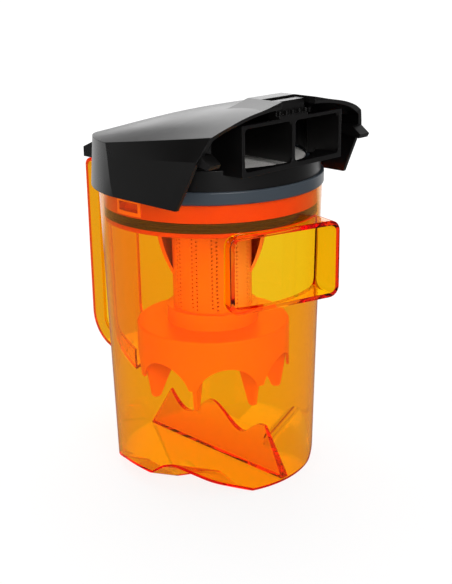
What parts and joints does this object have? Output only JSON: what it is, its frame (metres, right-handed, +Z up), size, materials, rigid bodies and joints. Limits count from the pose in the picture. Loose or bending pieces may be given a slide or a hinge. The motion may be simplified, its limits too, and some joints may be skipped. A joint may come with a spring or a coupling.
{
  "type": "cyclone dust bin",
  "caption": "Clear tapered cyclone dust bin with a carrying handle, a side inlet spout, and a lift-out lid that holds the separator, filter, outlet ducts and release latch.",
  "frame": {"origin": "centre of the bin's foot, on the surface that it stands on", "axes": "+Z up along the bin's axis, -Y towards the inlet spout and outlet ducts, +Y towards the handle"},
  "size_m": [0.1484, 0.1885, 0.2442],
  "materials": {
    "clear_amber_plastic": "clear tinted moulding, polished",
    "orange_plastic": "satin moulding",
    "seal_rubber": "soft matt rubber",
    "slate_plastic": "satin moulding",
    "filter_foam": "open foam",
    "black_plastic": "fine satin moulding",
    "zinc_steel": "zinc plated"
  },
  "bodies": {
    "bin": {"bin_shell": "clear_amber_plastic", "handle": "clear_amber_plastic"},
    "lid": {"separator_collar": "orange_plastic", "collar_seal": "seal_rubber", "shroud": "orange_plastic", "dust_skirt": "orange_plastic", "filter_cassette": "slate_plastic", "filter_pad": "filter_foam", "cassette_gasket": "seal_rubber", "lid_base": "black_plastic", "top_cover": "black_plastic", "cover_screws": "zinc_steel", "latch_spring": "zinc_steel"},
    "latch": {"release_latch": "black_plastic", "latch_pin": "zinc_steel"}
  },
  "joints": [
    {"name": "lid_lift", "type": "slide", "parent": "bin", "child": "lid", "axis": [0, 0, 1], "range_m": [0, 0.15]},
    {"name": "latch_pivot", "type": "hinge", "parent": "lid", "child": "latch", "pos_m": [0, 0.092, 0.1985], "axis": [1, 0, 0], "range_deg": [0, 8], "stiffness_Nm_per_rad": 0.2, "springref_deg": -5.73, "deforming": ["latch_spring"]}
  ]
}
